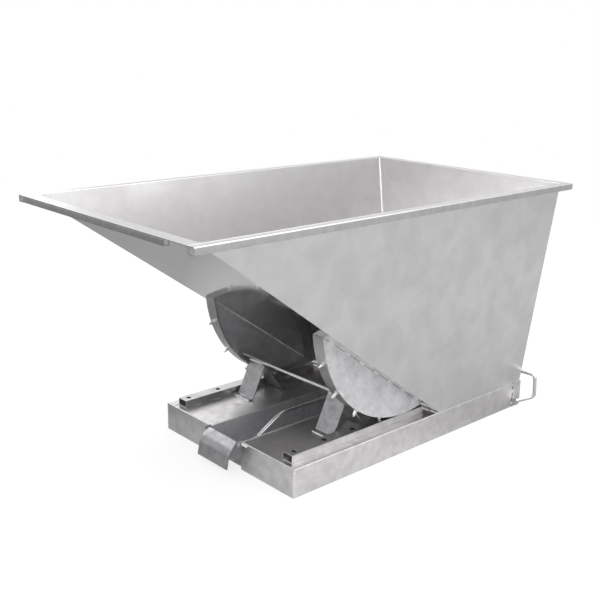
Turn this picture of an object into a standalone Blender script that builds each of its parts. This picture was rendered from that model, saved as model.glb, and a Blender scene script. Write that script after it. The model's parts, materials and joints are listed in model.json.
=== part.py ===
"""Self-tipping forklift skip in stainless steel, standing on its fork-pocket base.

The open container rolls forward on two toothed rockers to empty over its front lip.
Units are metres, +Z is up and +X is the skip's right side. The lip faces -Y.
The origin is under the middle of the whole skip, on the ground.
"""
from math import acos, atan2, cos, pi, sin

import bmesh
import bpy
from mathutils import Matrix, Vector

# ---- container
rim_width = 1.070
rim_length = 1.866
rim_height = 1.000
sheet = 0.003                # wall thickness of every container sheet
gap = 0.0003                 # clearance kept where two pieces touch
rim_tube = (0.033, 0.025)    # width and height of the tube around the sheets' top edge
rim_wall = 0.002
lip_depth = 0.049            # flat flange along the tipping edge
lip_bar_depth = 0.020
lip_bar_setback = 0.001
lip_bar_span = (-0.395, 0.387)   # a short filler closes the left end, the right stays open
side_out_top = 0.4985        # outer half width of the body at the tube's underside
side_out_low = 0.3906        # and at its bottom
body_bottom = 0.1125
rear_face = 1.829            # rear wall's outer face, measured from the lip
slope_top = (0.0686, 0.979)  # distance from the lip and height on the slope's outer face
slope_foot = (1.2797, 0.1145)
catch_outline = [(1.8293, 0.117), (1.838, 0.117), (1.838, 0.123), (1.8293, 0.135)]
catch_half = 0.020

# ---- base
base_front = 0.505           # from the lip
base_rear = 1.781
base_half = 0.390
base_height = 0.112
channel_flange = 0.042
channel_wall = 0.004
plate_top = 0.1105
plate = 0.003
lane_half = 0.094            # half width of the open lane between the fork pockets
lane_front = 0.520
tie_rear = 1.866
tie_half = 0.360
tie_bar = 0.006
end_plate = (1.787, 1.842)   # upright plates that close the base's rear corners
end_plate_bar = 0.006

# ---- rolling gear
rail_x = 0.3225
rail_size = (0.050, 0.030)
rail_wall = 0.0025
rail_span = (0.533, 1.230)
rocker_radius = 0.438
rocker_centre = 1.110        # from the lip
band = 0.005
rocker_plate = 0.004
rocker_inside = 0.290        # band's inner edge, from the middle
pin_count = 5
pin_pitch = 0.1464
first_hole = 0.5644          # from the lip
hole_radius = 0.010
pin_radius = 0.007
pin_length = 0.024
pin_straight = 0.6           # share of a pin's length before its taper
pin_tip = 0.55               # tip radius as a share of the pin's

# ---- brackets and stop rod
bracket_span = (0.190, 0.286)   # inner and outer edge, from the middle
bracket_line = [(0.772, 0.0), (0.790, 0.0), (0.855, 0.136), (0.962, 0.0), (0.980, 0.0)]
bracket_bar = 0.005
stop_rod_radius = 0.007
stop_rod_half = 0.330        # its ends reach into the rockers and end the roll

# ---- release gear
flap_half = 0.090
flap_bar = 0.005
flap_pivot = (0.4925, 0.1065)
flap_line = [(0.486, 0.1130), (0.463, 0.0930), (0.4475, 0.0660), (0.4385, 0.0170)]
flap_ear = [(0.446, 0.038), (0.462, 0.038), (0.462, 0.052), (0.446, 0.052)]
flap_ear_half = 0.004
flap_lug = [(0.480, 0.094), (0.5047, 0.088), (0.5047, 0.118), (0.480, 0.118)]
flap_lug_lap = 0.003         # how far a lug reaches into the lane
knuckle_radius = 0.008
flap_pin_radius = 0.005
shaft_line = (1.853, 0.150)  # from the lip and height of the release shaft
shaft_radius = 0.007
shaft_span = (-0.060, 0.366)
handle_radius = 0.008
handle_line = [(0.3663, 1.853, 0.150), (0.452, 1.853, 0.150), (0.458, 1.853, 0.052),
               (0.3995, 1.806, 0.026)]
handle_bend = 0.018
rod_radius = 0.008
rod_x = -0.004
rod_line = [(0.464, 0.045), (0.655, 0.045), (0.785, 0.120), (1.040, 0.120), (1.140, 0.092),
            (1.846, 0.092)]
rod_bend = 0.030
guide_at = 1.450
guide_bar = 0.005
guide_fork = [(-0.030, 0.0033), (0.030, 0.0033), (0.030, 0.104), (0.0055, 0.104),
              (0.0055, 0.0825), (-0.0135, 0.0825), (-0.0135, 0.104), (-0.030, 0.104)]
post_bar = 0.006
post_places = {"left": -0.034, "middle": 0.034, "right": 0.3535}
post_outline = [(1.844, 0.0063), (1.866, 0.0063), (1.866, 0.162), (1.860, 0.166),
                (1.846, 0.166), (1.8435, 0.160)]
hook_span = (-0.014, 0.010)
hook_outline = [(1.8395, 0.128), (1.846, 0.124), (1.847, 0.084), (1.859, 0.084), (1.866, 0.150),
                (1.861, 0.161), (1.846, 0.163), (1.8405, 0.150), (1.8395, 0.138)]
marker_radius = 0.010        # stand-in disc on the rocker circle's centre
marker_thickness = 0.002

stainless = (0.60, 0.59, 0.585, 1.0)
bright = (0.72, 0.715, 0.71, 1.0)


def at(distance):
    """Y of a point given by its distance behind the lip."""
    return distance - rim_length / 2


def metal(name, colour, roughness):
    mat = bpy.data.materials.new(name)
    mat.use_nodes = True
    shader = mat.node_tree.nodes["Principled BSDF"]
    shader.inputs["Base Color"].default_value = colour
    shader.inputs["Roughness"].default_value = roughness
    shader.inputs["Metallic"].default_value = 1.0
    return mat


def place(name, bm, roughness=0.35, colour=stainless, pivot=(0, 0, 0), smooth=False):
    """Turn a bmesh in world coordinates into a named object with its origin at the pivot."""
    bmesh.ops.recalc_face_normals(bm, faces=bm.faces)
    bmesh.ops.translate(bm, verts=bm.verts, vec=-Vector(pivot))
    mesh = bpy.data.meshes.new(name)
    bm.to_mesh(mesh)
    bm.free()
    if smooth:
        mesh.shade_smooth()
        mesh.set_sharp_from_angle(angle=pi / 6)
    obj = bpy.data.objects.new(name, mesh)
    obj.location = pivot
    obj.data.materials.append(metal(name + "_metal", colour, roughness))
    bpy.context.scene.collection.objects.link(obj)
    return obj


def prism(points, shift):
    """Closed solid swept from a flat outline of 3-D points along a vector."""
    bm = bmesh.new()
    face = bm.faces.new([bm.verts.new(p) for p in points])
    swept = bmesh.ops.extrude_face_region(bm, geom=[face])
    moved = [v for v in swept["geom"] if isinstance(v, bmesh.types.BMVert)]
    bmesh.ops.translate(bm, verts=moved, vec=Vector(shift))
    return bm


def box(x, y, z):
    """Closed box between pairs of X, Y and Z; Y is measured from the lip."""
    outline = [(x[0], at(y[0]), z[0]), (x[1], at(y[0]), z[0]),
               (x[1], at(y[1]), z[0]), (x[0], at(y[1]), z[0])]
    return prism(outline, (0, 0, z[1] - z[0]))


def side_outline(outline, x):
    """Sweep an outline of (distance from lip, height) points across a pair of X values."""
    return prism([(x[0], at(d), z) for d, z in outline], (x[1] - x[0], 0, 0))


def strip(line, thickness):
    """Outline of a flat bar bent along a line of points.

    Positive thickness is added to the right of the line as it runs, negative to its left.
    """
    offset = []
    for i, point in enumerate(line):
        here = Vector(point)
        before = (here - Vector(line[i - 1])).normalized() if i else None
        after = (Vector(line[i + 1]) - here).normalized() if i + 1 < len(line) else None
        before, after = before or after, after or before
        normal = (Vector((before.y, -before.x)) + Vector((after.y, -after.x))).normalized()
        reach = thickness / max(0.2, normal.dot(Vector((before.y, -before.x))))
        offset.append(tuple(here + normal * reach))
    return list(line) + offset[::-1]


def hollow_bar(x, y, z, wall, axis):
    """Open-ended rectangular tube; Y from the lip, axis 0 runs along X and 1 along Y."""
    low = Vector((x[0], at(y[0]), z[0]))
    high = Vector((x[1], at(y[1]), z[1]))
    across = 1 - axis
    bm = bmesh.new()
    edges = []
    for inset in (0.0, wall):
        ring = []
        for a, b in ((0, 0), (1, 0), (1, 1), (0, 1)):
            point = low.copy()
            point[across] = high[across] - inset if a else low[across] + inset
            point.z = high.z - inset if b else low.z + inset
            ring.append(bm.verts.new(point))
        edges += [bm.edges.new((ring[i], ring[(i + 1) % 4])) for i in range(4)]
    faces = bmesh.ops.bridge_loops(bm, edges=edges)["faces"]
    swept = bmesh.ops.extrude_face_region(bm, geom=faces)
    moved = [v for v in swept["geom"] if isinstance(v, bmesh.types.BMVert)]
    shift = Vector((0, 0, 0))
    shift[axis] = high[axis] - low[axis]
    bmesh.ops.translate(bm, verts=moved, vec=shift)
    return bm


def cylinder(radius, low, high, sides=24):
    """Round bar between two world points."""
    low, high = Vector(low), Vector(high)
    bm = bmesh.new()
    bmesh.ops.create_cone(bm, cap_ends=True, segments=sides, radius1=radius, radius2=radius,
                          depth=(high - low).length)
    turn = Vector((0, 0, 1)).rotation_difference(high - low).to_matrix().to_4x4()
    bmesh.ops.transform(bm, verts=bm.verts, matrix=Matrix.Translation((low + high) / 2) @ turn)
    return bm


def tapered_pin(root, way):
    """Round pin standing on a root point, its outer end drawn in to a blunt taper."""
    straight = pin_length * pin_straight
    bm = cylinder(pin_radius, root, root + way * straight, sides=16)
    cap = max(bm.faces, key=lambda face: face.calc_center_median().dot(way))
    tip = bmesh.ops.extrude_face_region(bm, geom=[cap])["geom"]
    verts = [v for v in tip if isinstance(v, bmesh.types.BMVert)]
    bmesh.ops.delete(bm, geom=[cap], context="FACES_ONLY")
    bmesh.ops.translate(bm, verts=verts, vec=way * (pin_length - straight))
    centre = root + way * pin_length
    bmesh.ops.scale(bm, verts=verts, vec=(pin_tip, pin_tip, pin_tip),
                    space=Matrix.Translation(-centre))
    return bm


def bent_rod(name, radius, corners, bend, pivot=(0, 0, 0)):
    """Round rod along straight runs joined by bends, as a beveled curve with filled caps."""
    points = [Vector(corners[0])]
    for i in range(1, len(corners) - 1):
        here = Vector(corners[i])
        back = (Vector(corners[i - 1]) - here).normalized()
        ahead = (Vector(corners[i + 1]) - here).normalized()
        start, end = here + back * bend, here + ahead * bend
        for step in range(7):
            t = step / 6
            points.append(start * (1 - t) ** 2 + here * 2 * t * (1 - t) + end * t ** 2)
    points.append(Vector(corners[-1]))
    curve = bpy.data.curves.new(name, "CURVE")
    curve.dimensions = "3D"
    curve.bevel_depth = radius
    curve.bevel_resolution = 3
    curve.use_fill_caps = True
    spline = curve.splines.new("POLY")
    spline.points.add(len(points) - 1)
    for node, point in zip(spline.points, points):
        node.co = (*(point - Vector(pivot)), 1.0)
    obj = bpy.data.objects.new(name, curve)
    obj.location = pivot
    curve.materials.append(metal(name + "_metal", bright, 0.25))
    bpy.context.scene.collection.objects.link(obj)
    return obj


def cut(obj, tool_bm, operation="DIFFERENCE"):
    """Apply a Boolean with a tool given in world coordinates."""
    mesh = bpy.data.meshes.new(obj.name + "_tool")
    bmesh.ops.recalc_face_normals(tool_bm, faces=tool_bm.faces)
    tool_bm.to_mesh(mesh)
    tool_bm.free()
    tool = bpy.data.objects.new(obj.name + "_tool", mesh)
    bpy.context.scene.collection.objects.link(tool)
    change = obj.modifiers.new("cut", "BOOLEAN")
    change.solver = "EXACT"
    change.operation = operation
    change.object = tool
    bpy.context.view_layer.update()
    result = bpy.data.meshes.new_from_object(obj.evaluated_get(bpy.context.evaluated_depsgraph_get()))
    obj.modifiers.clear()
    obj.data = result
    bpy.data.objects.remove(tool, do_unlink=True)


def side_x(height):
    """Outer half width of the leaning side sheets at a height."""
    share = (height - body_bottom) / (rim_height - rim_tube[1] - body_bottom)
    return side_out_low + (side_out_top - side_out_low) * share


def slope_distance(height):
    """Distance from the lip to the slope's outer face at a height."""
    share = (height - slope_foot[1]) / (slope_top[1] - slope_foot[1])
    return slope_foot[0] + (slope_top[0] - slope_foot[0]) * share


slope_angle = atan2(slope_top[1] - slope_foot[1], slope_foot[0] - slope_top[0])
rail_top = plate_top + gap + rail_size[1]
centre_height = rail_top + gap + rocker_radius
rim_low = rim_height - rim_tube[1]
roll_axis = (0, at(rocker_centre), centre_height)
hands = {"left": -1, "right": 1}


def pair(a, b, hand):
    """An X span on the named side, low value first."""
    return sorted((a * hand, b * hand))


def build_base():
    inside = base_front + plate + gap
    for side, hand in hands.items():
        edge = base_half - channel_wall
        low, top = channel_wall, base_height - channel_wall
        outline = [(base_half, 0), (base_half, base_height), (base_half - channel_flange, base_height),
                   (base_half - channel_flange, top), (edge, top), (edge, low),
                   (base_half - channel_flange, low), (base_half - channel_flange, 0)]
        points = [(x * hand, at(inside), z) for x, z in outline]
        place("side_channel_" + side, prism(points, (0, base_rear - inside, 0)))
        flange = base_half - channel_flange - gap
        wall = lane_half + plate
        place("pocket_top_" + side, box(pair(wall + gap, flange, hand), (inside, base_rear),
                                        (plate_top - plate, plate_top)))
        place("pocket_floor_" + side, box(pair(wall + gap, flange, hand),
                                          (inside, base_rear), (0, plate)))
        place("pocket_wall_" + side, box(pair(lane_half, wall, hand), (inside, base_rear),
                                         (0, plate_top)))
        place("front_wall_" + side, box(pair(lane_half, base_half, hand),
                                        (base_front, base_front + plate), (0, base_height)))
        place("end_plate_" + side, box(pair(base_half - end_plate_bar, base_half, hand),
                                       end_plate, (0, base_height)))
    lane = lane_half - gap
    place("lane_floor", box((-lane, lane), (lane_front, base_rear), (0, plate)))
    place("rear_tie", box((-tie_half, tie_half), (base_rear + gap, tie_rear), (0, tie_bar)))


def build_rails():
    for side, hand in hands.items():
        half = rail_size[0] / 2
        rail = place("roll_rail_" + side,
                     hollow_bar(pair(rail_x - half, rail_x + half, hand), rail_span,
                                (plate_top + gap, rail_top), rail_wall, 1))
        for i in range(pin_count):
            y = at(first_hole + i * pin_pitch)
            x = rail_x * hand
            cut(rail, cylinder(hole_radius, (x, y, rail_top - 0.012), (x, y, rail_top + 0.01)))


def build_brackets():
    foot = plate_top + gap + bracket_bar
    line = [(d, foot + z) for d, z in bracket_line]
    for side, hand in hands.items():
        span = pair(bracket_span[0], bracket_span[1], hand)
        place("stop_bracket_" + side, side_outline(strip(line, bracket_bar), span))
    apex = bracket_line[2]
    y, z = at(apex[0]), foot + apex[1] + gap + stop_rod_radius
    place("stop_rod", cylinder(stop_rod_radius, (-stop_rod_half, y, z), (stop_rod_half, y, z)),
          colour=bright, smooth=True)


def build_container():
    build_sheets()
    build_rim()
    build_rockers()
    place("latch_catch", side_outline(catch_outline, (-catch_half, catch_half)), pivot=roll_axis)


def build_sheets():
    top = rim_height
    outline = [(slope_distance(top), top), (slope_distance(body_bottom), body_bottom),
               (rear_face, body_bottom), (rear_face, top)]
    for side, hand in hands.items():
        points = [(side_x(z) * hand, at(d), z) for d, z in outline]
        place("side_sheet_" + side, prism(points, (-sheet * hand, 0, 0)), pivot=roll_axis)

    def inner(height):
        return side_x(height) - sheet - 2 * gap

    # the slope sheet, from under the lip flange down to the bottom sheet
    normal = Vector((0, sin(slope_angle), cos(slope_angle))) * sheet
    foot = slope_foot[1] + sheet
    head = rim_height - 2 * sheet - gap
    outline = [(inner(foot), foot), (inner(head), head), (-inner(head), head), (-inner(foot), foot)]
    points = [(x, at(slope_distance(z)), z) for x, z in outline]
    place("slope_sheet", prism(points, normal), pivot=roll_axis)

    width = inner(body_bottom)
    start = slope_distance(foot) + sheet + 0.002
    place("bottom_sheet", box((-width, width), (start, rear_face - sheet - gap),
                              (body_bottom, body_bottom + sheet)), pivot=roll_axis)
    width_top = inner(top)
    corners = [(-width, body_bottom), (width, body_bottom), (width_top, top), (-width_top, top)]
    points = [(x, at(rear_face), z) for x, z in corners]
    place("rear_wall", prism(points, (0, -sheet, 0)), pivot=roll_axis)


def build_rim():
    half = rim_width / 2
    height = (rim_low, rim_height)
    for side, hand in hands.items():
        tube = hollow_bar(pair(half - rim_tube[0], half, hand), (0, rim_length), height, rim_wall, 1)
        place("rim_tube_" + side, tube, pivot=roll_axis)
    reach = half - rim_tube[0] - gap
    place("rim_tube_rear", hollow_bar((-reach, reach), (rear_face + gap, rim_length),
                                      height, rim_wall, 0), pivot=roll_axis)
    # the flange narrows where the side sheets' top edges begin
    under = rim_height - sheet
    narrow = side_x(under) - sheet - 2 * gap
    notch = slope_distance(rim_height) - 2 * gap
    steps = [(reach, 0), (reach, notch), (narrow, notch), (narrow, lip_depth)]
    outline = steps + [(-x, d) for x, d in steps[::-1]]
    place("lip_flange", prism([(x, at(d), under) for x, d in outline], (0, 0, sheet)),
          pivot=roll_axis)
    depth = (lip_bar_setback, lip_bar_setback + lip_bar_depth)
    height = (rim_low, under - gap)
    place("lip_bar", hollow_bar(lip_bar_span, depth, height, rim_wall, 0), pivot=roll_axis)
    place("lip_filler", hollow_bar((-reach, lip_bar_span[0] - gap), depth, height, rim_wall, 0),
          pivot=roll_axis)


def build_rockers():
    chord = ((rocker_centre - slope_foot[0]) * sin(slope_angle)
             + (centre_height - slope_foot[1]) * cos(slope_angle) + 2 * gap)

    def ends(radius):
        """Angles from straight down, towards the lip, where an arc meets the slope sheet."""
        spread = acos(chord / radius)
        return slope_angle - spread, slope_angle + spread

    def arc(radius, steps):
        first, last = ends(radius)
        turns = [first + (last - first) * i / steps for i in range(steps + 1)]
        return [(rocker_centre - radius * sin(a), centre_height - radius * cos(a)) for a in turns]

    steps = 36
    outside = rail_x + rail_size[0] / 2
    for side, hand in hands.items():
        outline = arc(rocker_radius, steps) + arc(rocker_radius - band, steps)[::-1]
        place("rocker_band_" + side,
              side_outline(outline, pair(rocker_inside, outside - rocker_plate - gap, hand)),
              pivot=roll_axis, smooth=True)
        place("rocker_plate_" + side,
              side_outline(arc(rocker_radius, steps), pair(outside - rocker_plate, outside, hand)),
              pivot=roll_axis, smooth=True)
        for i in range(pin_count):
            turn = (rocker_centre - first_hole - i * pin_pitch) / rocker_radius
            way = Vector((0, -sin(turn), -cos(turn)))
            root = Vector((rail_x * hand, roll_axis[1], centre_height)) + way * rocker_radius
            place(f"rocker_pin_{side}_{i + 1}", tapered_pin(root + way * gap, way),
                  0.2, bright, roll_axis, True)


def build_release():
    y, z = at(flap_pivot[0]), flap_pivot[1]
    flap = place("release_flap", side_outline(strip(flap_line, -flap_bar), (-flap_half, flap_half)),
                 pivot=(0, y, z))
    cut(flap, cylinder(knuckle_radius, (-flap_half, y, z), (flap_half, y, z)), "UNION")
    cut(flap, side_outline(flap_ear, (rod_x - flap_ear_half, rod_x + flap_ear_half)), "UNION")
    bore = flap_pin_radius + gap
    cut(flap, cylinder(bore, (-base_half, y, z), (base_half, y, z)))
    reach = lane_half + plate
    place("flap_pin", cylinder(flap_pin_radius, (-reach, y, z), (reach, y, z)),
          colour=bright, smooth=True)
    for side, hand in hands.items():
        holder = place("flap_lug_" + side,
                       side_outline(flap_lug, pair(lane_half - flap_lug_lap, reach, hand)))
        cut(holder, cylinder(bore, (-base_half, y, z), (base_half, y, z)))

    bent_rod("release_rod", rod_radius, [(rod_x, at(d), z) for d, z in rod_line], rod_bend)
    place("rod_guide", prism([(x, at(guide_at), z) for x, z in guide_fork], (0, guide_bar, 0)))

    y, z = at(shaft_line[0]), shaft_line[1]
    pivot = (0, y, z)
    place("release_shaft", cylinder(shaft_radius, (shaft_span[0], y, z), (shaft_span[1], y, z)),
          0.25, bright, pivot, True)
    bore = shaft_radius + gap
    for name, x in post_places.items():
        span = (x - post_bar / 2, x + post_bar / 2)
        holder = place("shaft_lug_" + name, side_outline(post_outline, span))
        cut(holder, cylinder(bore, (x - post_bar, y, z), (x + post_bar, y, z)))
    arm = place("latch_hook", side_outline(hook_outline, hook_span), pivot=pivot)
    cut(arm, cylinder(bore, (2 * hook_span[0], y, z), (2 * hook_span[1], y, z)))
    bent_rod("release_handle", handle_radius, [(x, at(d), z) for x, d, z in handle_line],
             handle_bend, pivot)


def build_roll_marker():
    """Small disc on the rocker circle's centre: it only rolls forward and never turns."""
    x = side_x(centre_height - marker_radius) - sheet - gap
    y = roll_axis[1]
    place("roll_centre_disc", cylinder(marker_radius, (x - marker_thickness, y, centre_height),
                                       (x, y, centre_height)), 0.25, bright, roll_axis, True)


def main():
    for obj in list(bpy.data.objects):
        bpy.data.objects.remove(obj, do_unlink=True)
    build_base()
    build_rails()
    build_brackets()
    build_container()
    build_release()
    build_roll_marker()


main()
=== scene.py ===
import json
from math import cos, pi, radians, sin

import bmesh
import bpy
from mathutils import Matrix, Vector

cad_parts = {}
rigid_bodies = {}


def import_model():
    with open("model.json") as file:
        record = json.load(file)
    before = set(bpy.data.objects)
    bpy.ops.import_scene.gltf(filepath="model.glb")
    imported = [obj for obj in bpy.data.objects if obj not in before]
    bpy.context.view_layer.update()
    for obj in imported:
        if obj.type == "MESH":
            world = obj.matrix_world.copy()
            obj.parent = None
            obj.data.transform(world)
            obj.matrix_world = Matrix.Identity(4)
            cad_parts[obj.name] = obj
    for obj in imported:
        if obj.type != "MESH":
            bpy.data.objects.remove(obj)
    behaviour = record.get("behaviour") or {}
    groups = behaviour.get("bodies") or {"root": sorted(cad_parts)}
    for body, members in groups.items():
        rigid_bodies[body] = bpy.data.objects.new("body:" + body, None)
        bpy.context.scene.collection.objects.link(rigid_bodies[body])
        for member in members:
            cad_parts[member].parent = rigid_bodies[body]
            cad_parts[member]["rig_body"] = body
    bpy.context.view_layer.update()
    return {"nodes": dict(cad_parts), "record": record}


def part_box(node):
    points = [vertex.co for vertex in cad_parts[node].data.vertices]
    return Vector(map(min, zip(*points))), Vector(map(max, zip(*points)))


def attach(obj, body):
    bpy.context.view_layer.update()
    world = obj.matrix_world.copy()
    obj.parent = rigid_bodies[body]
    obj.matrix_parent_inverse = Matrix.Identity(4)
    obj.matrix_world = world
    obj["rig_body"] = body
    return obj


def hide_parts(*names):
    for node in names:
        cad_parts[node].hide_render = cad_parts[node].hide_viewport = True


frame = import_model()
nodes = frame["nodes"]
record = frame["record"]
mm = 0.001
sides = {"left": -1, "right": 1}
print("frame loaded:", len(nodes), "nodes")


def hexColour(code):
    channels = [int(code[i:i + 2], 16) / 255 for i in (1, 3, 5)]
    return [c / 12.92 if c <= 0.04045 else ((c + 0.055) / 1.055) ** 2.4 for c in channels] + [1.0]


def addNode(tree, kind, settings=None, inputs=None):
    node = tree.nodes.new(kind)
    for key, value in (settings or {}).items():
        setattr(node, key, value)
    for key, value in (inputs or {}).items():
        if isinstance(value, bpy.types.NodeSocket):
            tree.links.new(value, node.inputs[key])
        else:
            node.inputs[key].default_value = value
    return node


# Every piece is 304 stainless steel, a neutral to faintly warm grey metal. The finishes differ in
# how the surface was made. grainAlong and grainAcross are the length and width of one mark in mm:
# real brushing is about 0.1 mm wide, so it is drawn wider here, as coarse as it has to be to show.
# cloud and wave are the size in mm of one blotch and of one gentle dent, and waveDepth and
# grainDepth are heights in mm. roughness runs from the light blotches to the dark ones.
finishes = {
    # cold-rolled sheet: smooth, so the floor mirrored in it keeps its edges
    "coldRolledSheet": {
        "light": "#DEDDDD", "dark": "#D6D5D5", "roughness": (0.05, 0.09),
        "cloud": 140, "cloudDetail": 2.0, "wave": 240, "waveDepth": 0.45,
        "grainAlong": 260, "grainAcross": 3.0, "grainDepth": 0.002, "grainShare": 0.10,
    },
    # satin sheet: an even soft grey that only hints at what is beside it
    "satinSheet": {
        "light": "#DEDDDD", "dark": "#D3D1D2", "roughness": (0.29, 0.35),
        "cloud": 110, "cloudDetail": 2.0, "wave": 240, "waveDepth": 0.34,
        "grainAlong": 260, "grainAcross": 3.0, "grainDepth": 0.002, "grainShare": 0.12,
    },
    # brushed tube: fine lines along its length, a little glossier than the sheet
    "brushedTube": {
        "light": "#CDCCCD", "dark": "#B8B7B8", "roughness": (0.28, 0.34),
        "cloud": 45, "cloudDetail": 3.0, "wave": 110, "waveDepth": 0.10,
        "grainAlong": 160, "grainAcross": 2.2, "grainDepth": 0.004, "grainShare": 0.35,
    },
    # pickled sheet: matt, lightly blotched where the acid took
    "pickledSheet": {
        "light": "#E0DEDF", "dark": "#CBC9CA", "roughness": (0.30, 0.42),
        "cloud": 42, "cloudDetail": 4.0, "wave": 130, "waveDepth": 0.28,
        "grainAlong": 120, "grainAcross": 2.5, "grainDepth": 0.004, "grainShare": 0.20,
    },
    # scuffed sheet: rubbed nearly matt by forks, the sliding rod and handling
    "scuffedSheet": {
        "light": "#E6E6E8", "dark": "#CFCFD2", "roughness": (0.46, 0.62),
        "cloud": 40, "cloudDetail": 3.0, "wave": 130, "waveDepth": 0.35,
        "grainAlong": 90, "grainAcross": 2.5, "grainDepth": 0.008, "grainShare": 0.20,
    },
    # flat bar and cut plate: duller, with short rolling marks
    "flatBar": {
        "light": "#B2B2B4", "dark": "#98999B", "roughness": (0.36, 0.50),
        "cloud": 28, "cloudDetail": 3.0, "wave": 60, "waveDepth": 0.12,
        "grainAlong": 45, "grainAcross": 2.0, "grainDepth": 0.014, "grainShare": 0.30,
    },
    # bright drawn bar: smooth and shiny
    "drawnBar": {
        "light": "#EDEDED", "dark": "#DADADA", "roughness": (0.14, 0.22),
        "cloud": 25, "cloudDetail": 2.0, "wave": 30, "waveDepth": 0.05,
        "grainAlong": 50, "grainAcross": 1.5, "grainDepth": 0.006, "grainShare": 0.30,
    },
    # weld metal: rippled by the bead itself and grainy between the ripples; its near-white tone is partly
    # painted highlight, so every seam shows as a bright line
    "weldMetal": {
        "light": "#FAF9F8", "dark": "#D6D5D4", "roughness": (0.44, 0.60),
        "cloud": 7, "cloudDetail": 4.0, "wave": 12, "waveDepth": 0.1,
        "grainAlong": 4, "grainAcross": 2.0, "grainDepth": 0.05, "grainShare": 0.45,
    },
}

# what the patterns of every finish share: detail in octaves, and reaches in noise values
pattern = {
    "grainDetail": 3.0, "grainRoughness": 0.6,
    "cloudRoughness": 0.55, "cloudDistortion": 0.4,
    "waveDetail": 1.0, "waveRoughness": 0.4,
    "toneReach": (0.36, 0.64), "sheenReach": (0.35, 0.65),
}


def perMetre(length):
    # how many times a length in mm goes into a metre
    return 1000 / length


def makeFinish(name, axis):
    # the grain runs along the given axis of the object
    look = finishes[name]
    material = bpy.data.materials.new(name + "Stainless" + "XYZ"[axis])
    material.use_nodes = True
    tree = material.node_tree
    shader = tree.nodes["Principled BSDF"]
    shader.inputs["Metallic"].default_value = 1.0
    place = addNode(tree, "ShaderNodeTexCoord").outputs["Object"]
    scale = [perMetre(look["grainAcross"])] * 3
    scale[axis] = perMetre(look["grainAlong"])
    stretched = addNode(tree, "ShaderNodeMapping", None, {"Vector": place, "Scale": scale})
    grain = addNode(tree, "ShaderNodeTexNoise", None, {
        "Vector": stretched.outputs[0], "Scale": 1.0, "Detail": pattern["grainDetail"],
        "Roughness": pattern["grainRoughness"]})
    cloud = addNode(tree, "ShaderNodeTexNoise", None, {
        "Vector": place, "Scale": perMetre(look["cloud"]), "Detail": look["cloudDetail"],
        "Roughness": pattern["cloudRoughness"], "Distortion": pattern["cloudDistortion"]})
    wave = addNode(tree, "ShaderNodeTexNoise", None, {
        "Vector": place, "Scale": perMetre(look["wave"]), "Detail": pattern["waveDetail"],
        "Roughness": pattern["waveRoughness"]})
    cloudPart = addNode(tree, "ShaderNodeMath", {"operation": "MULTIPLY"}, {
        0: cloud.outputs["Fac"], 1: 1 - look["grainShare"]})
    blend = addNode(tree, "ShaderNodeMath", {"operation": "MULTIPLY_ADD"}, {
        0: grain.outputs["Fac"], 1: look["grainShare"], 2: cloudPart.outputs[0]})
    tone = addNode(tree, "ShaderNodeMapRange", None, {
        "Value": blend.outputs[0], "From Min": pattern["toneReach"][0],
        "From Max": pattern["toneReach"][1]})
    colour = addNode(tree, "ShaderNodeMix", {"data_type": "RGBA"}, {
        "Factor": tone.outputs[0], "A": hexColour(look["dark"]), "B": hexColour(look["light"])})
    tree.links.new(colour.outputs["Result"], shader.inputs["Base Color"])
    sheen = addNode(tree, "ShaderNodeMapRange", None, {
        "Value": cloud.outputs["Fac"], "From Min": pattern["sheenReach"][0],
        "From Max": pattern["sheenReach"][1], "To Min": look["roughness"][1],
        "To Max": look["roughness"][0]})
    tree.links.new(sheen.outputs[0], shader.inputs["Roughness"])
    dents = addNode(tree, "ShaderNodeBump", None, {
        "Height": wave.outputs["Fac"], "Strength": 1.0, "Distance": look["waveDepth"] * mm})
    marks = addNode(tree, "ShaderNodeBump", None, {
        "Height": grain.outputs["Fac"], "Strength": 1.0, "Distance": look["grainDepth"] * mm,
        "Normal": dents.outputs[0]})
    tree.links.new(marks.outputs[0], shader.inputs["Normal"])
    return material


madeFinishes = {}


def finish(name, axis):
    key = (name, axis)
    if key not in madeFinishes:
        madeFinishes[key] = makeFinish(name, axis)
    return madeFinishes[key]


# lengths in mm and angles in degrees
meshing = {"merge": 0.02, "flat": 0.4, "corner": 60, "sharp": 50, "near": 0.1}


def fromNode(name):
    bm = bmesh.new()
    bm.from_mesh(nodes[name].data)
    bmesh.ops.remove_doubles(bm, verts=bm.verts, dist=meshing["merge"] * mm)
    bmesh.ops.dissolve_limit(bm, angle_limit=radians(meshing["flat"]), verts=bm.verts, edges=bm.edges)
    return bm


def roundEdges(bm, radius, segments, chosen):
    # radius in mm; chosen tells which edges are rounded
    edges = [e for e in bm.edges if len(e.link_faces) == 2 and chosen(e)]
    bmesh.ops.bevel(bm, geom=edges, offset=radius * mm, offset_type="OFFSET", segments=segments,
                    profile=0.5, affect="EDGES", material=-1, clamp_overlap=True)


def bend(edge):
    return edge.calc_face_angle(0.0)


def isCorner(edge):
    return bend(edge) > radians(meshing["corner"])


def runsAlong(edge, axis):
    way = edge.verts[1].co - edge.verts[0].co
    return abs(way[axis]) > 0.98 * way.length


def near(a, b):
    return abs(a - b) < meshing["near"] * mm


def camel(name):
    words = name.split("_")
    return words[0] + "".join(word.capitalize() for word in words[1:])


def asPiece(name, bm, body, material, replaced=()):
    mesh = bpy.data.meshes.new(name)
    bm.to_mesh(mesh)
    bm.free()
    mesh.shade_smooth()
    mesh.set_sharp_from_angle(angle=radians(meshing["sharp"]))
    piece = bpy.data.objects.new(name, mesh)
    bpy.context.scene.collection.objects.link(piece)
    piece.data.materials.append(material)
    even = piece.modifiers.new("evenShading", "WEIGHTED_NORMAL")
    even.keep_sharp = True
    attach(piece, body)
    if replaced:
        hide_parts(*replaced)
    return piece


def bodyOf(name):
    return nodes[name]["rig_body"]


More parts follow.
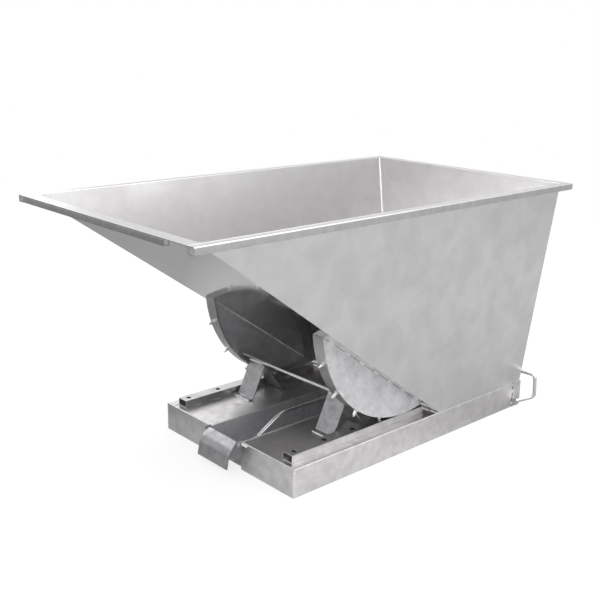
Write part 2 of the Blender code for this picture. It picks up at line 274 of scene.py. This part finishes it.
def pieceFromNode(name, bm, material):
    return asPiece(camel(name), bm, bodyOf(name), material, [name])


def sweep(bm, path, radii, ringSides):
    # one round skin along a path, closed at both ends; radii gives each station's radius
    made = bmesh.ops.create_circle(bm, cap_ends=True, segments=ringSides, radius=1.0)
    ring = made["verts"]
    edges = list(dict.fromkeys(e for v in ring for e in v.link_edges))
    last = None
    turn = Matrix.Identity(3)
    way = Vector((0, 0, 1))
    for i, point in enumerate(path):
        ahead = path[min(i + 1, len(path) - 1)] - path[max(i - 1, 0)]
        turn = way.rotation_difference(ahead).to_matrix() @ turn
        way = ahead.normalized()
        size = Matrix.Diagonal((radii[i], radii[i], 1.0, 1.0))
        here = Matrix.Translation(point) @ turn.to_4x4() @ size
        if last is not None:
            grown = bmesh.ops.extrude_edge_only(bm, edges=edges)["geom"]
            ring = [g for g in grown if isinstance(g, bmesh.types.BMVert)]
            edges = [g for g in grown if isinstance(g, bmesh.types.BMEdge)
                     and g.verts[0] in ring and g.verts[1] in ring]
            bmesh.ops.transform(bm, verts=ring, matrix=here @ last.inverted())
        else:
            bmesh.ops.transform(bm, verts=ring, matrix=here)
        last = here
    bmesh.ops.edgeloop_fill(bm, edges=edges)


def bentPath(corners, bendRadius, steps=8):
    points = [Vector(corners[0])]
    for i in range(1, len(corners) - 1):
        here = Vector(corners[i])
        start = here + (Vector(corners[i - 1]) - here).normalized() * bendRadius
        end = here + (Vector(corners[i + 1]) - here).normalized() * bendRadius
        for k in range(steps + 1):
            t = k / steps
            points.append(start * (1 - t) ** 2 + here * 2 * t * (1 - t) + end * t ** 2)
    points.append(Vector(corners[-1]))
    return points


def alongPath(corners, step):
    # evenly spaced points on a line of corners
    points = []
    for a, b in zip(corners, corners[1:]):
        count = max(1, round((b - a).length / step))
        points += [a.lerp(b, i / count) for i in range(count)]
    return points + [corners[-1]]


def weldBead(bm, corners, width, seed=0, ground=1.0):
    # a run of weld: a thin rope with a ripple every few millimetres, half sunk in its corner;
    # width is in mm, and a low value of ground leaves the bead nearly smooth
    path = alongPath([Vector(c) for c in corners], weld["ripple"] * mm / 2)
    radii = []
    for i in range(len(path)):
        fromEnd = min(i, len(path) - 1 - i) / weld["endTaper"]
        wander = sum(sin(i * pace + seed * shift) * size for pace, shift, size in weld["wander"])
        ripple = weld["rippleDepth"] * (0.5 if i % 2 else -0.5)
        full = min(1.0, weld["endShare"] + fromEnd)
        radii.append(width * mm / 2 * full * (1 + (ripple + wander) * ground))
    # each bead is built alone and then added, since growing one large bmesh is slow
    bead = bmesh.new()
    sweep(bead, path, radii, weld["ringSides"])
    mesh = bpy.data.meshes.new("bead")
    bead.to_mesh(mesh)
    bead.free()
    bm.from_mesh(mesh)
    bpy.data.meshes.remove(mesh)


def stitches(bm, start, end, width, seed=0):
    # short runs of weld at an even pitch along a line
    line = end - start
    length, pitch = weld["stitch"] * mm, weld["pitch"] * mm
    count = max(1, int((line.length - length) / pitch) + 1)
    margin = (line.length - (count - 1) * pitch - length) / 2
    for i in range(count):
        first = start + line.normalized() * (margin + i * pitch)
        weldBead(bm, [first, first + line.normalized() * length], width, seed + i)


# what all beads share: lengths in mm, taper in stations, and wander as pace, shift and size
weld = {"ripple": 3.6, "rippleDepth": 0.34, "endTaper": 4, "endShare": 0.5, "ringSides": 8,
        "stitch": 30, "pitch": 96, "wander": ((2.3, 1, 0.07), (0.71, 3, 0.09))}
print("finishes and helpers ready")


container = {"edge": 0.7, "segments": 2, "mirrored": ("slope_sheet", "bottom_sheet")}


def makeContainer():
    for name in ("side_sheet_left", "side_sheet_right", "slope_sheet", "bottom_sheet", "rear_wall"):
        bm = fromNode(name)
        roundEdges(bm, container["edge"], container["segments"], isCorner)
        look = "coldRolledSheet" if name in container["mirrored"] else "satinSheet"
        pieceFromNode(name, bm, finish(look, 0 if name == "rear_wall" else 1))


rim = {
    "outerCorner": 3.5, "innerCorner": 1.2, "endEdge": 0.4, "segments": 4, "edgeSegments": 2,
    # the axis that each tube runs along
    "tubes": {"rim_tube_left": 1, "rim_tube_right": 1, "rim_tube_rear": 0, "lip_bar": 0,
              "lip_filler": 0},
}


def tubeWithCorners(name, axis, tube):
    bm = fromNode(name)
    roundEdges(bm, tube["outerCorner"], tube["segments"],
               lambda e: runsAlong(e, axis) and isCorner(e) and e.is_convex)
    roundEdges(bm, tube["innerCorner"], tube["segments"],
               lambda e: runsAlong(e, axis) and isCorner(e) and not e.is_convex)
    roundEdges(bm, tube["endEdge"], tube["edgeSegments"],
               lambda e: isCorner(e) and not runsAlong(e, axis) and e.is_convex)
    return bm


def makeRim():
    for name, axis in rim["tubes"].items():
        pieceFromNode(name, tubeWithCorners(name, axis, rim), finish("brushedTube", axis))
    bm = fromNode("lip_flange")
    roundEdges(bm, rim["endEdge"], rim["edgeSegments"], isCorner)
    pieceFromNode("lip_flange", bm, finish("brushedTube", 0))


plug = {
    "tubeWall": 2.0, "slack": 0.1, "thickness": 2.0,
    # each plugged tube, its axis, which end, and how deep in that end the plate lies
    "ends": (("rim_tube_left", 1, "low", 5.0), ("rim_tube_right", 1, "low", 5.0),
             ("rim_tube_left", 1, "high", 0.1), ("rim_tube_right", 1, "high", 0.1),
             ("lip_bar", 0, "high", 5.0)),
}


def makeEndPlugs():
    # thin plates close the tubes: set back in the ends at the lip, all but flush at the rear
    bm = bmesh.new()
    wall = (plug["tubeWall"] + plug["slack"]) * mm
    thickness = plug["thickness"] * mm
    for name, axis, end, recess in plug["ends"]:
        low, high = [corner.copy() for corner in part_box(name)]
        for other in {0, 1, 2} - {axis}:
            low[other] += wall
            high[other] -= wall
        if end == "low":
            low[axis] += recess * mm
            high[axis] = low[axis] + thickness
        else:
            high[axis] -= recess * mm
            low[axis] = high[axis] - thickness
        size = Matrix.Diagonal((*(high - low), 1.0))
        bmesh.ops.create_cube(bm, size=1.0, matrix=Matrix.Translation((low + high) / 2) @ size)
    asPiece("endPlugs", bm, bodyOf("lip_bar"), finish("scuffedSheet", 0))


rail = {"outerCorner": 3.0, "innerCorner": 1.0, "endEdge": 0.4, "segments": 4, "edgeSegments": 2}
rocker = {"edge": 0.6, "segments": 2, "pins": 5,
          "finish": {"rocker_band_": "brushedTube", "rocker_plate_": "scuffedSheet"}}


def makeRollingGear():
    for side in sides:
        name = "roll_rail_" + side
        pieceFromNode(name, tubeWithCorners(name, 1, rail), finish("brushedTube", 1))
        for part, look in rocker["finish"].items():
            bm = fromNode(part + side)
            roundEdges(bm, rocker["edge"], rocker["segments"], isCorner)
            pieceFromNode(part + side, bm, finish(look, 1))
        for i in range(1, rocker["pins"] + 1):
            name = f"rocker_pin_{side}_{i}"
            pieceFromNode(name, fromNode(name), finish("drawnBar", 2))


# radii in mm; cornerShare is how much of the front wall's thickness its upright corner rounds
base = {
    "edge": 0.6, "edgeSegments": 2, "foldOutside": 4.0, "foldInside": 1.0, "topFold": 2.4,
    "foldSegments": 4, "cornerShare": 0.9,
    # the other pieces' finish and the axis of its grain
    "flat": {"lane_floor": ("scuffedSheet", 1), "rear_tie": ("pickledSheet", 0),
             "end_plate_left": ("pickledSheet", 1), "end_plate_right": ("pickledSheet", 1)},
}


def makeChannel(side, outside):
    bm = fromNode("side_channel_" + side)
    roundEdges(bm, base["foldOutside"], base["foldSegments"],
               lambda e: runsAlong(e, 1) and near(abs(e.verts[0].co.x), outside) and isCorner(e))
    roundEdges(bm, base["foldInside"], base["edgeSegments"],
               lambda e: runsAlong(e, 1) and not e.is_convex and isCorner(e))
    pieceFromNode("side_channel_" + side, bm, finish("pickledSheet", 1))


def makeFrontWall(side, outside):
    bm = fromNode("front_wall_" + side)
    low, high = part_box("front_wall_" + side)
    thickness = (high.y - low.y) / mm

    def onFace(edge):
        return near(edge.verts[0].co.y, low.y)

    def onOutside(edge):
        return near(abs(edge.verts[0].co.x), outside)

    roundEdges(bm, base["foldOutside"], base["foldSegments"],
               lambda e: runsAlong(e, 1) and onOutside(e))
    roundEdges(bm, thickness * base["cornerShare"], base["foldSegments"],
               lambda e: runsAlong(e, 2) and onFace(e) and onOutside(e))
    roundEdges(bm, base["topFold"], base["foldSegments"],
               lambda e: runsAlong(e, 0) and onFace(e) and near(e.verts[0].co.z, high.z))
    roundEdges(bm, base["edge"], base["edgeSegments"], isCorner)
    pieceFromNode("front_wall_" + side, bm, finish("pickledSheet", 0))


def makePocketWall(side):
    bm = fromNode("pocket_wall_" + side)
    low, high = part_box("pocket_wall_" + side)
    inside = low.x if side == "right" else high.x
    roundEdges(bm, base["topFold"], base["foldSegments"],
               lambda e: runsAlong(e, 1) and near(e.verts[0].co.x, inside)
               and near(e.verts[0].co.z, high.z))
    pieceFromNode("pocket_wall_" + side, bm, finish("scuffedSheet", 1))


def makeFlatSheet(name, look, axis):
    bm = fromNode(name)
    roundEdges(bm, base["edge"], base["edgeSegments"], isCorner)
    pieceFromNode(name, bm, finish(look, axis))


def makeBase():
    for side in sides:
        outside = max(abs(corner.x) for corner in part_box("side_channel_" + side))
        makeChannel(side, outside)
        makeFrontWall(side, outside)
        makePocketWall(side)
        for part in ("pocket_top_", "pocket_floor_"):
            makeFlatSheet(part + side, "pickledSheet", 1)
    for name, (look, axis) in base["flat"].items():
        makeFlatSheet(name, look, axis)


# radii in mm and angles in degrees: a fold bends more than leastFold and is not square
bracket = {"foldOutside": 7.0, "foldInside": 2.0, "foldSegments": 4, "leastFold": 8,
           "squareSlack": 4, "edge": 0.6, "edgeSegments": 2, "edgeBend": 80}


def makeBrackets():
    def isFold(edge):
        square = abs(bend(edge) - pi / 2) <= radians(bracket["squareSlack"])
        return runsAlong(edge, 0) and bend(edge) > radians(bracket["leastFold"]) and not square

    for side in sides:
        name = "stop_bracket_" + side
        bm = fromNode(name)
        roundEdges(bm, bracket["foldOutside"], bracket["foldSegments"],
                   lambda e: isFold(e) and e.is_convex)
        roundEdges(bm, bracket["foldInside"], bracket["foldSegments"],
                   lambda e: isFold(e) and not e.is_convex)
        roundEdges(bm, bracket["edge"], bracket["edgeSegments"],
                   lambda e: bend(e) > radians(bracket["edgeBend"]))
        pieceFromNode(name, bm, finish("flatBar", 2))
    pieceFromNode("stop_rod", fromNode("stop_rod"), finish("drawnBar", 0))


# radii in mm, and the least and most bend in degrees of the flap's folds
release = {
    "edge": 0.5, "edgeSegments": 2, "flapFold": 6.0, "flapSegments": 5, "flapBends": (17, 25),
    # the axis of the grain on each piece
    "flatBars": {"release_flap": 0, "latch_hook": 2, "flap_lug_left": 2, "flap_lug_right": 2,
                 "rod_guide": 2, "shaft_lug_left": 2, "shaft_lug_middle": 2, "shaft_lug_right": 2,
                 "latch_catch": 0},
    "roundBars": {"release_shaft": 0, "flap_pin": 0, "roll_centre_disc": 2},
    "bentBars": {"release_rod": 1, "release_handle": 2},
}

# lengths in metres, with the corners of each rod's middle line; the end's edge in mm
rods = {
    "endEdge": 1.0, "edgeSegments": 2, "ringSides": 24,
    "release_rod": {"radius": 0.008, "bendRadius": 0.030, "corners": [
        (-0.004, -0.469, 0.045), (-0.004, -0.278, 0.045), (-0.004, -0.148, 0.120),
        (-0.004, 0.107, 0.120), (-0.004, 0.207, 0.092), (-0.004, 0.913, 0.092)]},
    "release_handle": {"radius": 0.008, "bendRadius": 0.018, "corners": [
        (0.3663, 0.920, 0.150), (0.452, 0.920, 0.150), (0.458, 0.920, 0.052),
        (0.3995, 0.873, 0.026)]},
}


def makeRelease():
    leastBend, mostBend = [radians(angle) for angle in release["flapBends"]]
    for name, axis in release["flatBars"].items():
        bm = fromNode(name)
        if name == "release_flap":
            roundEdges(bm, release["flapFold"], release["flapSegments"],
                       lambda e: runsAlong(e, 0) and leastBend < bend(e) < mostBend)
        roundEdges(bm, release["edge"], release["edgeSegments"], isCorner)
        pieceFromNode(name, bm, finish("flatBar", axis))
    for name, axis in release["roundBars"].items():
        pieceFromNode(name, fromNode(name), finish("drawnBar", axis))
    for name, axis in release["bentBars"].items():
        values = rods[name]
        path = bentPath(values["corners"], values["bendRadius"])
        bm = bmesh.new()
        sweep(bm, path, [values["radius"]] * len(path), rods["ringSides"])
        roundEdges(bm, rods["endEdge"], rods["edgeSegments"], isCorner)
        pieceFromNode(name, bm, finish("drawnBar", axis))


# each run of weld on the base: its width in mm, and how far it lies in mm from the edges of the
# pieces that it joins
baseSeams = {
    # the ground seam along the lane's edge; its near-white metal partly paints the highlight of the fold
    # there
    "laneEdge": {"width": 4.2, "in": 1.4, "back": 2.0, "down": 1.0, "ground": 0.06},
    # front wall to pocket top, and the rounded corner where it meets the channel; their near-white metal
    # partly paints the highlights of these edges
    "frontTop": {"width": 4.5, "fromLane": 3.0, "fromCorner": 5.0, "up": 0.4},
    "corner": {"width": 9.4, "in": 3.6, "ends": 5.0, "ground": 0.12},
    "rail": {"width": 4.0, "in": 0.6, "up": 1.0, "seed": 2},
    "foot": {"width": 5.0, "out": 0.4, "ends": 4.0, "up": 1.6, "seed": 9},
    "rod": {"width": 6.5, "out": 6.5, "ends": 4.0, "up": 1.0, "seed": 7},
    # a heap of short runs holds each flap lug, a larger one on the right
    "lug": {"width": 8.0, "runs": {-1: 2, 1: 6}, "first": 3.0, "step": 5.5, "down": 4.0,
            "scatter": 4.0, "pace": 1.9, "from": (0.0, 0.5, -5.0), "to": (6.0, 0.2, 2.0)},
    "plateEnd": {"width": 7.0, "in": 2.6, "heights": ((10, 24), (66, 82), (98, 108))},
}


def makeBaseWelds():
    bm = bmesh.new()
    wallLow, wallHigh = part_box("front_wall_right")
    railLow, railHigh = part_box("roll_rail_right")
    footLow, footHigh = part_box("stop_bracket_right")
    rodLow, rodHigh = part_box("stop_rod")
    plateLow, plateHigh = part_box("end_plate_right")
    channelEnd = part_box("side_channel_right")[1].y
    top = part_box("pocket_top_right")[1].z
    rodMiddle = (rodLow.y + rodHigh.y) / 2
    for hand in sides.values():
        def run(seam, start, end, seed=0):
            points = [Vector((x * hand, y, z)) for x, y, z in (start, end)]
            weldBead(bm, points, seam["width"], seed + hand, seam.get("ground", 1.0))

        seam = baseSeams["laneEdge"]
        x, z = wallLow.x + seam["in"] * mm, top - seam["down"] * mm
        run(seam, (x, wallHigh.y + seam["back"] * mm, z), (x, channelEnd, z))

        seam = baseSeams["frontTop"]
        y, z = wallHigh.y, top + seam["up"] * mm
        run(seam, (wallLow.x + seam["fromLane"] * mm, y, z),
            (wallHigh.x - seam["fromCorner"] * mm, y, z))

        seam = baseSeams["corner"]
        x, y = wallHigh.x - seam["in"] * mm, wallLow.y + seam["in"] * mm
        run(seam, (x, y, seam["ends"] * mm), (x, y, wallHigh.z - seam["ends"] * mm))

        seam = baseSeams["rail"]
        x, z = (railLow.x - seam["in"] * mm) * hand, top + seam["up"] * mm
        stitches(bm, Vector((x, railLow.y, z)), Vector((x, railHigh.y, z)), seam["width"], seam["seed"])

        seam = baseSeams["foot"]
        inner, outer = footLow.x + seam["ends"] * mm, footHigh.x - seam["ends"] * mm
        z = top + seam["up"] * mm
        for y in (footLow.y - seam["out"] * mm, footHigh.y + seam["out"] * mm):
            run(seam, (inner, y, z), (outer, y, z), seed=y * seam["seed"])

        seam = baseSeams["rod"]
        z = rodLow.z + seam["up"] * mm
        for y in (rodMiddle - seam["out"] * mm, rodMiddle + seam["out"] * mm):
            run(seam, (inner, y, z), (outer, y, z), seed=y * seam["seed"])

        seam = baseSeams["lug"]
        for i in range(seam["runs"][hand]):
            spot = Vector((wallLow.x + (seam["first"] + seam["step"] * i) * mm, wallLow.y,
                           wallHigh.z - (seam["down"] + seam["scatter"] * abs(sin(i * seam["pace"]))) * mm))
            run(seam, spot + Vector(seam["from"]) * mm, spot + Vector(seam["to"]) * mm, seed=i)

        seam = baseSeams["plateEnd"]
        x, y = plateHigh.x - seam["in"] * mm, (channelEnd + plateLow.y) / 2
        for low, high in seam["heights"]:
            run(seam, (x, y, low * mm), (x, y, high * mm))
    bmesh.ops.recalc_face_normals(bm, faces=bm.faces)
    asPiece("baseWelds", bm, bodyOf("lane_floor"), finish("weldMetal", 0))


# the rockers' circle comes from the joints; slopeFoot and slopeTop are the ends, in metres, of
# the line down the middle of the slope sheet's outer face
tipJoint = next(joint for joint in record["behaviour"]["joints"] if joint["name"] == "tip")
rollCoupling = next(c for c in record["behaviour"]["couplings"] if c["follows"] == "tip")
rolling = {"centre": tipJoint["pos_m"], "radius": rollCoupling["ratio"],
           "slopeFoot": (0, 0.3467, 0.1145), "slopeTop": (0, -0.8644, 0.979)}

# each run of weld on the container, in mm
containerSeams = {
    # rocker plate to slope sheet, stitched on both faces
    "chord": {"width": 5.0, "fromCircle": 12, "out": 0.8, "seed": 30},
    # the upright seams inside the rear corners
    "rearCorner": {"width": 7.0, "off": 0.5, "foot": 2.0, "headIn": 3.8, "headDown": 3.0},
    # a fillet round each pin's root: heights above the band's face, and radii there
    "pin": {"heights": (-1.0, 0.6, 2.6), "radii": (9.2, 9.0, 7.2), "sides": 20},
    # a short tack on the rocker plate at each pin
    "tack": {"width": 6.5, "out": 0.4, "fromCircle": 5, "half": 6},
}


def weldPins(bm, outerFace):
    centre = Vector(rolling["centre"])
    fillet, tack = containerSeams["pin"], containerSeams["tack"]
    for side, hand in sides.items():
        for i in range(1, rocker["pins"] + 1):
            low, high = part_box(f"rocker_pin_{side}_{i}")
            pin = (low + high) / 2
            hub = Vector((pin.x, centre.y, centre.z))
            way = (pin - hub).normalized()
            root = hub + way * rolling["radius"]
            sweep(bm, [root + way * height * mm for height in fillet["heights"]],
                  [radius * mm for radius in fillet["radii"]], fillet["sides"])
            tangent = Vector((0, -way.z, way.y)) * tack["half"] * mm
            spot = Vector(((outerFace + tack["out"] * mm) * hand, root.y, root.z))
            spot -= way * tack["fromCircle"] * mm
            weldBead(bm, [spot - tangent, spot + tangent], tack["width"], i)


def makeContainerWelds():
    bm = bmesh.new()
    centre = Vector(rolling["centre"])
    foot, head = Vector(rolling["slopeFoot"]), Vector(rolling["slopeTop"])
    uphill = (head - foot).normalized()
    outward = Vector((0, -uphill.z, uphill.y))
    middle = foot + uphill * (centre - foot).dot(uphill)
    plateLow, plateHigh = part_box("rocker_plate_right")
    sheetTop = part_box("side_sheet_right")[1]
    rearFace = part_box("rear_wall")[0].y
    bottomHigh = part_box("bottom_sheet")[1]
    chord, upright = containerSeams["chord"], containerSeams["rearCorner"]
    reach = rolling["radius"] - chord["fromCircle"] * mm
    half = (reach ** 2 - (centre - middle).length ** 2) ** 0.5
    for hand in sides.values():
        for x in (plateLow.x - chord["out"] * mm, plateHigh.x + chord["out"] * mm):
            across = Vector((x * hand, 0, 0)) + outward * chord["out"] * mm
            stitches(bm, middle - uphill * half + across, middle + uphill * half + across,
                     chord["width"], seed=x * chord["seed"])
        y = rearFace - upright["off"] * mm
        seamFoot = Vector((hand * (bottomHigh.x - upright["off"] * mm), y,
                           bottomHigh.z + upright["foot"] * mm))
        seamHead = Vector((hand * (sheetTop.x - upright["headIn"] * mm), y,
                           sheetTop.z - upright["headDown"] * mm))
        weldBead(bm, [seamFoot, seamHead], upright["width"], hand)
    weldPins(bm, plateHigh.x)
    bmesh.ops.recalc_face_normals(bm, faces=bm.faces)
    asPiece("containerWelds", bm, bodyOf("slope_sheet"), finish("weldMetal", 0))


makeContainer()
makeRim()
makeRollingGear()
makeBase()
makeBrackets()
makeRelease()
makeEndPlugs()
makeBaseWelds()
makeContainerWelds()
print("pieces made")


# Lengths in metres and powers in watts. The lamps stand on three sides, and the steel mirrors a
# room that grows darker towards darkWay, and a floor with painted shade that darkens the same way,
# as bare metal needs to show its shape.
studio = {
    "darkWay": (-0.707, -0.707, 0.0),
    "floor": "#F2F2F1", "floorRadius": 7.0, "floorSides": 96, "floorRoughness": 0.9,
    "floorSpecular": 0.1, "floorFade": (3.2, 6.6), "floorGlow": 0.75,
    # painted shade of the mirrored floor: greys by distance along darkWay, and the reach of those distances
    "mirroredFloor": ((-2.4, 0.37), (-1.5, 0.33), (-0.8, 0.36), (-0.4, 0.60), (0.4, 0.60),
                      (0.9, 0.31), (3.6, 0.19)),
    "mirroredReach": 4.0,
    # painted shade darkens the mirrored floor beyond the object's left side
    "shadeWay": (-1.0, 0.0, 0.0), "shadeReach": (0.2, 0.6), "shadeDepth": 0.62,
    "roomAside": 0.64, "roomDark": 0.40, "roomTurn": (-0.1, 0.8),
    "roomOverhead": 1.5, "roomLift": (0.05, 0.62),
    "lamps": {
        "overhead": {"at": (0.4, 0.2, 3.6), "aim": (0, 0, 0.4), "size": (3.6, 3.6), "power": 134},
        "right": {"at": (3.4, 1.2, 1.9), "aim": (0, 0, 0.5), "size": (2.6, 2.6), "power": 20},
        "front": {"at": (0.6, -3.6, 2.2), "aim": (0, 0, 0.4), "size": (2.2, 2.2), "power": 11},
        "left": {"at": (-3.2, -0.4, 2.0), "aim": (0, 0, 0.5), "size": (2.4, 2.4), "power": 18},
    },
}


def mirroredFloor(tree, place):
    # what the steel sees of the floor: bands of painted shade across darkWay, and more painted shade on one
    # side
    reach = studio["mirroredReach"]
    along = addNode(tree, "ShaderNodeVectorMath", {"operation": "DOT_PRODUCT"}, {
        0: place, 1: studio["darkWay"]})
    position = addNode(tree, "ShaderNodeMapRange", None, {
        "Value": along.outputs["Value"], "From Min": -reach, "From Max": reach})
    ramp = addNode(tree, "ShaderNodeValToRGB", None, {0: position.outputs[0]})
    stops = studio["mirroredFloor"]
    while len(ramp.color_ramp.elements) < len(stops):
        ramp.color_ramp.elements.new(0.5)
    for element, (distance, grey) in zip(ramp.color_ramp.elements, stops):
        element.position = (distance + reach) / (2 * reach)
        element.color = (grey, grey, grey, 1.0)
    aside = addNode(tree, "ShaderNodeVectorMath", {"operation": "DOT_PRODUCT"}, {
        0: place, 1: studio["shadeWay"]})
    shade = addNode(tree, "ShaderNodeMapRange", {"interpolation_type": "SMOOTHSTEP"}, {
        "Value": aside.outputs["Value"], "From Min": studio["shadeReach"][0],
        "From Max": studio["shadeReach"][1], "To Min": 1.0, "To Max": studio["shadeDepth"]})
    shaded = addNode(tree, "ShaderNodeVectorMath", {"operation": "SCALE"}, {
        0: ramp.outputs[0], "Scale": shade.outputs[0]})
    return addNode(tree, "ShaderNodeBsdfDiffuse", None, {"Color": shaded.outputs[0]})


def makeFloorPaper():
    # matt paper to the lamps, with painted shade where the steel mirrors it, lifted towards white for the
    # camera, clear towards its rim
    material = bpy.data.materials.new("paleFloorPaper")
    material.use_nodes = True
    tree = material.node_tree
    shader = tree.nodes["Principled BSDF"]
    shader.inputs["Base Color"].default_value = hexColour(studio["floor"])
    shader.inputs["Roughness"].default_value = studio["floorRoughness"]
    shader.inputs["Specular IOR Level"].default_value = studio["floorSpecular"]
    place = addNode(tree, "ShaderNodeTexCoord").outputs["Object"]
    paths = addNode(tree, "ShaderNodeLightPath")
    # glossy rays see the floor's painted shade in place of the lit paper
    paper = addNode(tree, "ShaderNodeMixShader", None, {
        0: paths.outputs["Is Glossy Ray"], 1: shader.outputs[0],
        2: mirroredFloor(tree, place).outputs[0]})
    white = addNode(tree, "ShaderNodeEmission", None, {"Color": (1, 1, 1, 1), "Strength": 1.0})
    glow = addNode(tree, "ShaderNodeMath", {"operation": "MULTIPLY"}, {
        0: paths.outputs["Is Camera Ray"], 1: studio["floorGlow"]})
    lifted = addNode(tree, "ShaderNodeMixShader", None, {
        0: glow.outputs[0], 1: paper.outputs[0], 2: white.outputs[0]})
    far = addNode(tree, "ShaderNodeVectorMath", {"operation": "LENGTH"}, {0: place})
    fade = addNode(tree, "ShaderNodeMapRange", {"interpolation_type": "SMOOTHSTEP"}, {
        "Value": far.outputs["Value"], "From Min": studio["floorFade"][0],
        "From Max": studio["floorFade"][1]})
    clear = addNode(tree, "ShaderNodeBsdfTransparent")
    faded = addNode(tree, "ShaderNodeMixShader", None, {
        0: fade.outputs[0], 1: lifted.outputs[0], 2: clear.outputs[0]})
    tree.links.new(faded.outputs[0], tree.nodes["Material Output"].inputs["Surface"])
    return material


def makeFloor():
    bm = bmesh.new()
    bmesh.ops.create_circle(bm, cap_ends=True, segments=studio["floorSides"],
                            radius=studio["floorRadius"])
    mesh = bpy.data.meshes.new("floor")
    bm.to_mesh(mesh)
    bm.free()
    floor = bpy.data.objects.new("floor", mesh)
    bpy.context.scene.collection.objects.link(floor)
    mesh.materials.append(makeFloorPaper())


def makeLamps():
    for name, values in studio["lamps"].items():
        lamp = bpy.data.lights.new(name + "Softbox", "AREA")
        lamp.shape = "RECTANGLE"
        lamp.size, lamp.size_y = values["size"]
        lamp.energy = values["power"]
        holder = bpy.data.objects.new(name + "Softbox", lamp)
        holder.location = values["at"]
        away = Vector(values["at"]) - Vector(values["aim"])
        holder.rotation_euler = away.to_track_quat("Z", "Y").to_euler()
        bpy.context.scene.collection.objects.link(holder)


def makeRoom():
    # white to the camera; to the steel it is grey at the sides and bright overhead
    world = bpy.data.worlds.new("studioRoom")
    bpy.context.scene.world = world
    world.use_nodes = True
    tree = world.node_tree
    tree.nodes.clear()
    way = addNode(tree, "ShaderNodeTexCoord").outputs["Generated"]
    height = addNode(tree, "ShaderNodeSeparateXYZ", None, {0: way}).outputs["Z"]
    towards = addNode(tree, "ShaderNodeVectorMath", {"operation": "DOT_PRODUCT"}, {
        0: way, 1: studio["darkWay"]})
    aside = addNode(tree, "ShaderNodeMapRange", {"interpolation_type": "SMOOTHSTEP"}, {
        "Value": towards.outputs["Value"], "From Min": studio["roomTurn"][0],
        "From Max": studio["roomTurn"][1], "To Min": studio["roomAside"],
        "To Max": studio["roomDark"]})
    lift = addNode(tree, "ShaderNodeMapRange", {"interpolation_type": "SMOOTHSTEP"}, {
        "Value": height, "From Min": studio["roomLift"][0], "From Max": studio["roomLift"][1]})
    grey = addNode(tree, "ShaderNodeMix", {"data_type": "FLOAT"}, {
        "Factor": lift.outputs[0], "A": aside.outputs[0], "B": studio["roomOverhead"]})
    paths = addNode(tree, "ShaderNodeLightPath")
    seen = addNode(tree, "ShaderNodeBackground", None, {"Color": (1, 1, 1, 1), "Strength": 1.0})
    lit = addNode(tree, "ShaderNodeBackground", None, {
        "Color": grey.outputs["Result"], "Strength": 1.0})
    mixed = addNode(tree, "ShaderNodeMixShader", None, {
        0: paths.outputs["Is Camera Ray"], 1: lit.outputs[0], 2: seen.outputs[0]})
    addNode(tree, "ShaderNodeOutputWorld", None, {"Surface": mixed.outputs[0]})
    bpy.context.scene.view_settings.view_transform = "Standard"


# place and clipping in metres, angles in degrees, lens and sensor in mm
camera = {"at": (2.5048, -2.3220, 1.5551), "azimuth": 47.92, "elevation": 16.274, "roll": 0.866,
          "lens": 54.2, "sensor": 36.0, "clip": (0.05, 100)}


def makeCamera():
    data = bpy.data.cameras.new("camera")
    data.lens = camera["lens"]
    data.sensor_width = camera["sensor"]
    data.clip_start, data.clip_end = camera["clip"]
    holder = bpy.data.objects.new("camera", data)
    bpy.context.scene.collection.objects.link(holder)
    a, e = radians(camera["azimuth"]), radians(camera["elevation"])
    back = Vector((sin(a) * cos(e), -cos(a) * cos(e), sin(e)))
    right = Vector((cos(a), sin(a), 0))
    up = back.cross(right)
    roll = radians(camera["roll"])
    across = right * cos(roll) + up * sin(roll)
    upright = up * cos(roll) - right * sin(roll)
    turn = Matrix((across, upright, back)).transposed()
    holder.matrix_world = Matrix.Translation(camera["at"]) @ turn.to_4x4()
    bpy.context.scene.camera = holder


makeFloor()
makeLamps()
makeRoom()
makeCamera()
print("studio and camera ready")
